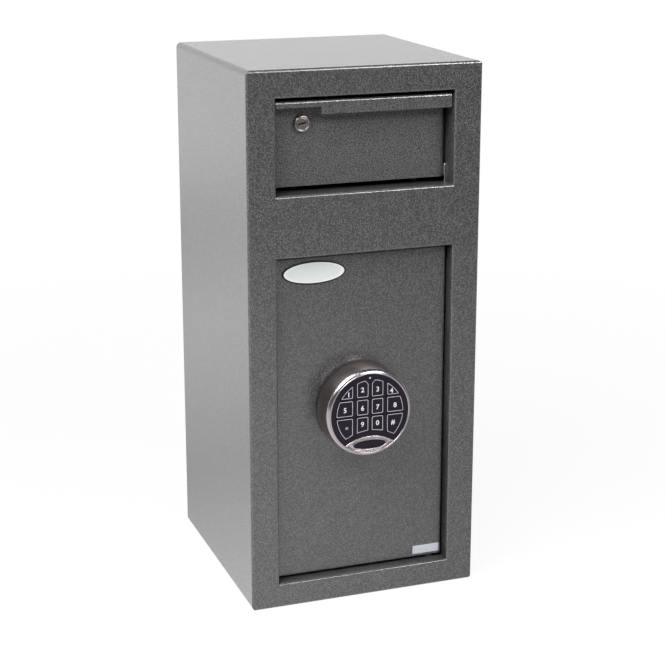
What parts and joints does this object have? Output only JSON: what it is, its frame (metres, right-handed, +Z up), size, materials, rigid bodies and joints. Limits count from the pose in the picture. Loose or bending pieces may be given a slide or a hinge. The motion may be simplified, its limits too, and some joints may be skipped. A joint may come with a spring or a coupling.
{
  "type": "deposit safe",
  "caption": "Tall narrow steel deposit safe: lockable tilting deposit flap with hopper above a recessed door whose round turning keypad throws side bolts.",
  "frame": {"origin": "centre of the four anchor holes at the underside of the base", "axes": "+Z up, front face towards -Y, +X to the right seen from the front"},
  "size_m": [0.23, 0.2603, 0.52],
  "materials": {
    "body_paint": "fine dark grey hammertone powder coat",
    "zinc_steel": "bright zinc plate",
    "spring_steel": "bright drawn wire and ground pins",
    "brass": "turned",
    "gunmetal": "dark nickel, smooth",
    "bright_ring": "polished",
    "lock_chrome": "polished",
    "black_face": "gloss black",
    "black_base": "fine matt",
    "cable_black": "matt",
    "board": "satin",
    "battery_case": "satin",
    "badge_grey": "satin, bare",
    "label_silver": "satin, bare",
    "rubber": "matt"
  },
  "bodies": {
    "cabinet": {"body_wrap": "body_paint", "front_frame": "body_paint", "back_panel": "body_paint", "chute_plate": "body_paint", "antifish_baffle": "body_paint", "strike_plate": "zinc_steel", "door_stops": "body_paint", "hinge_bushes": "zinc_steel", "hinge_washer": "black_base", "flap_rod": "zinc_steel", "rod_clips": "zinc_steel", "flap_spring": "spring_steel", "flap_buffers": "rubber"},
    "door": {"door_pan": "body_paint", "hinge_blocks": "zinc_steel", "hinge_pins": "spring_steel", "badge": "badge_grey", "serial_label": "label_silver", "inner_cover": "body_paint", "cover_screws": "zinc_steel", "bolt_guides": "zinc_steel", "bar_studs": "zinc_steel", "lock_unit": "zinc_steel", "lock_unit_screws": "zinc_steel", "spindle_bush": "brass", "keypad_base": "black_base", "keypad_base_screws": "zinc_steel", "lock_cable": "cable_black"},
    "keypad": {"keypad_housing": "gunmetal", "bead_ring": "bright_ring", "keypad_face": "black_face", "crescent_bezel": "gunmetal", "nameplate_window": "black_face", "circuit_board": "board", "battery": "battery_case", "spindle": "zinc_steel", "drive_cam": "zinc_steel", "cam_nut": "zinc_steel"},
    "bolt_carriage": {"bolt_bar": "zinc_steel", "door_bolts": "spring_steel"},
    "blocking_pin": {"lock_pin": "spring_steel"},
    "flap": {"flap_panel": "body_paint", "hopper_tray": "body_paint", "flap_lock_body": "lock_chrome", "flap_lock_nut": "zinc_steel"},
    "flap_plug": {"flap_lock_plug": "zinc_steel", "flap_lock_cam": "zinc_steel", "flap_cam_screw": "zinc_steel"},
    "key_1_button": {"key_1": "black_face"},
    "key_2_button": {"key_2": "black_face"},
    "key_3_button": {"key_3": "black_face"},
    "key_4_button": {"key_4": "black_face"},
    "key_5_button": {"key_5": "black_face"},
    "key_6_button": {"key_6": "black_face"},
    "key_7_button": {"key_7": "black_face"},
    "key_8_button": {"key_8": "black_face"},
    "key_star_button": {"key_star": "black_face"},
    "key_9_button": {"key_9": "black_face"},
    "key_0_button": {"key_0": "black_face"},
    "key_hash_button": {"key_hash": "black_face"}
  },
  "joints": [
    {"name": "door_hinge", "type": "hinge", "parent": "cabinet", "child": "door", "pos_m": [0.0737, -0.1025, 0.185], "axis": [0, 0, 1], "range_deg": [0, 100]},
    {"name": "keypad_turn", "type": "hinge", "parent": "door", "child": "keypad", "pos_m": [-0.003, -0.125, 0.195], "axis": [0, 1, 0], "range_deg": [-90, 0]},
    {"name": "bolt_throw", "type": "slide", "parent": "door", "child": "bolt_carriage", "axis": [-1, 0, 0], "range_m": [0, 0.01401]},
    {"name": "blocking_pin_lift", "type": "slide", "parent": "door", "child": "blocking_pin", "axis": [0, 0, 1], "range_m": [0, 0.005]},
    {"name": "flap_tilt", "type": "hinge", "parent": "cabinet", "child": "flap", "pos_m": [0, -0.094, 0.414], "axis": [1, 0, 0], "range_deg": [0, 55], "stiffness_Nm_per_rad": 0.25, "springref_deg": -17.19},
    {"name": "flap_lock_turn", "type": "hinge", "parent": "flap", "child": "flap_plug", "pos_m": [-0.0572, -0.09, 0.468], "axis": [0, 1, 0], "range_deg": [-90, 0]},
    {"name": "key_1_press", "type": "slide", "parent": "keypad", "child": "key_1_button", "axis": [0, 1, 0], "range_m": [0, 0.0012], "stiffness_N_per_m": 600},
    {"name": "key_2_press", "type": "slide", "parent": "keypad", "child": "key_2_button", "axis": [0, 1, 0], "range_m": [0, 0.0012], "stiffness_N_per_m": 600},
    {"name": "key_3_press", "type": "slide", "parent": "keypad", "child": "key_3_button", "axis": [0, 1, 0], "range_m": [0, 0.0012], "stiffness_N_per_m": 600},
    {"name": "key_4_press", "type": "slide", "parent": "keypad", "child": "key_4_button", "axis": [0, 1, 0], "range_m": [0, 0.0012], "stiffness_N_per_m": 600},
    {"name": "key_5_press", "type": "slide", "parent": "keypad", "child": "key_5_button", "axis": [0, 1, 0], "range_m": [0, 0.0012], "stiffness_N_per_m": 600},
    {"name": "key_6_press", "type": "slide", "parent": "keypad", "child": "key_6_button", "axis": [0, 1, 0], "range_m": [0, 0.0012], "stiffness_N_per_m": 600},
    {"name": "key_7_press", "type": "slide", "parent": "keypad", "child": "key_7_button", "axis": [0, 1, 0], "range_m": [0, 0.0012], "stiffness_N_per_m": 600},
    {"name": "key_8_press", "type": "slide", "parent": "keypad", "child": "key_8_button", "axis": [0, 1, 0], "range_m": [0, 0.0012], "stiffness_N_per_m": 600},
    {"name": "key_star_press", "type": "slide", "parent": "keypad", "child": "key_star_button", "axis": [0, 1, 0], "range_m": [0, 0.0012], "stiffness_N_per_m": 600},
    {"name": "key_9_press", "type": "slide", "parent": "keypad", "child": "key_9_button", "axis": [0, 1, 0], "range_m": [0, 0.0012], "stiffness_N_per_m": 600},
    {"name": "key_0_press", "type": "slide", "parent": "keypad", "child": "key_0_button", "axis": [0, 1, 0], "range_m": [0, 0.0012], "stiffness_N_per_m": 600},
    {"name": "key_hash_press", "type": "slide", "parent": "keypad", "child": "key_hash_button", "axis": [0, 1, 0], "range_m": [0, 0.0012], "stiffness_N_per_m": 600}
  ],
  "couplings": [
    {"joint": "bolt_throw", "follows": "keypad_turn", "m_per_rad": -0.0089127}
  ]
}
